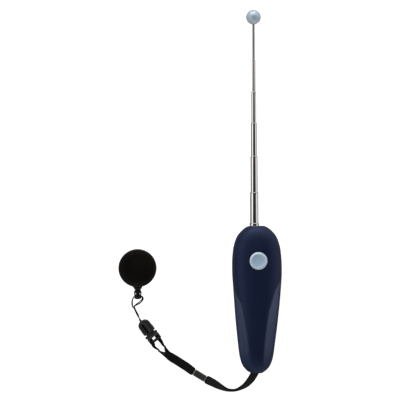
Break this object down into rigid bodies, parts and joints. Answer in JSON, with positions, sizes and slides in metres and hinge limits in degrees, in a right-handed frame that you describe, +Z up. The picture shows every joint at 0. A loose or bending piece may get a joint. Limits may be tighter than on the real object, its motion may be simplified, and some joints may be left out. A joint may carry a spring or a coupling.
{
  "type": "clicker target stick",
  "caption": "Telescopic steel target stick with a ball tip, clicker handle with thumb button, webbing lanyard with quick-release buckle and retractable clip-on reel.",
  "frame": {"origin": "middle of the handle's flat back face, on which the object lies", "axes": "+Y along the stick from the handle to the ball, +X to the right of somebody looking down on the button, +Z up out of the button"},
  "size_m": [0.1375, 0.3229, 0.0267],
  "materials": {
    "navy_plastic": "satin moulded, semi gloss",
    "light_blue_plastic": "smooth",
    "light_blue_rubber": "smooth, semi gloss",
    "chrome": "polished",
    "brass": "turned",
    "spring_steel": "rolled",
    "screw_steel": "zinc plated",
    "black_plastic": "fine moulded",
    "label_film": "domed, bare",
    "white_plastic": "moulded",
    "black_webbing": "flat woven",
    "black_cord": "twisted",
    "dark_metal": "black nickel"
  },
  "bodies": {
    "handle": {"handle_front_shell": "navy_plastic", "handle_back_shell": "navy_plastic", "shell_screw_1": "screw_steel", "shell_screw_2": "screw_steel", "shell_screw_3": "screw_steel", "leaf_clamp_plate": "spring_steel", "leaf_screw": "screw_steel", "stick_tube_1": "chrome", "stick_base_plug": "black_plastic", "strap_pin": "spring_steel", "strap_run_upper": "black_webbing", "strap_run_lower": "black_webbing", "strap_crimp": "dark_metal", "buckle_plug": "black_plastic"},
    "button": {"button_cap": "light_blue_plastic"},
    "leaf": {"clicker_leaf": "spring_steel"},
    "section_2": {"stick_tube_2": "chrome", "foot_bush_2": "brass"},
    "section_3": {"stick_tube_3": "chrome", "foot_bush_3": "brass"},
    "section_4": {"stick_tube_4": "chrome", "foot_bush_4": "brass"},
    "section_5": {"stick_tube_5": "chrome", "foot_bush_5": "brass"},
    "section_6": {"stick_tube_6": "chrome", "foot_bush_6": "brass"},
    "tip": {"stick_tip_rod": "chrome", "foot_bush_7": "brass", "tip_ball": "light_blue_rubber"},
    "socket": {"buckle_socket": "black_plastic", "lanyard_string": "black_cord", "pull_cord_end": "black_plastic", "pull_cord": "black_cord"},
    "reel": {"reel_back_cover": "black_plastic", "reel_front_cover": "black_plastic", "reel_label": "label_film", "reel_axle": "black_plastic", "reel_power_spring": "spring_steel", "clip_rivet": "spring_steel"},
    "spool": {"reel_spool": "white_plastic", "reel_wound_cord": "black_cord"},
    "clip": {"belt_clip": "spring_steel"}
  },
  "joints": [
    {"name": "button_press", "type": "slide", "parent": "handle", "child": "button", "axis": [0, 0, -1], "range_m": [0, 0.0018], "stiffness_N_per_m": 600, "springref_m": -0.0006},
    {"name": "leaf_flex", "type": "hinge", "parent": "handle", "child": "leaf", "pos_m": [0.0011, 0.009, 0.0177], "axis": [1, 0, 0], "range_deg": [-4.6, 0]},
    {"name": "slide_2", "type": "slide", "parent": "handle", "child": "section_2", "axis": [0, 1, 0], "range_m": [-0.025, 0.0613]},
    {"name": "slide_3", "type": "slide", "parent": "section_2", "child": "section_3", "axis": [0, 1, 0], "range_m": [-0.0295, 0.0578]},
    {"name": "slide_4", "type": "slide", "parent": "section_3", "child": "section_4", "axis": [0, 1, 0], "range_m": [-0.0269, 0.0614]},
    {"name": "slide_5", "type": "slide", "parent": "section_4", "child": "section_5", "axis": [0, 1, 0], "range_m": [-0.0254, 0.0639]},
    {"name": "slide_6", "type": "slide", "parent": "section_5", "child": "section_6", "axis": [0, 1, 0], "range_m": [-0.0262, 0.0641]},
    {"name": "slide_tip", "type": "slide", "parent": "section_6", "child": "tip", "axis": [0, 1, 0], "range_m": [-0.0284, 0.0629]},
    {"name": "buckle_release", "type": "slide", "parent": "handle", "child": "socket", "axis": [-0.6, 0.8, 0], "range_m": [0, 0.014]},
    {"name": "reel_pull", "type": "slide", "parent": "socket", "child": "reel", "axis": [0, 1, 0], "range_m": [0, 0.6], "stiffness_N_per_m": 1, "springref_m": -0.6},
    {"name": "spool_spin", "type": "hinge", "parent": "reel", "child": "spool", "pos_m": [-0.1, 0.0269, 0.0113], "axis": [0, 0, 1], "range_deg": [-4060, 0], "deforming": ["reel_power_spring"]},
    {"name": "clip_swivel", "type": "hinge", "parent": "reel", "child": "clip", "pos_m": [-0.1, 0.0269, 0.0061], "axis": [0, 0, 1], "continuous": true}
  ],
  "couplings": [
    {"joint": "leaf_flex", "follows": "button_press", "rad_per_m": -42.6},
    {"joint": "spool_spin", "follows": "reel_pull", "rad_per_m": -117.6}
  ]
}
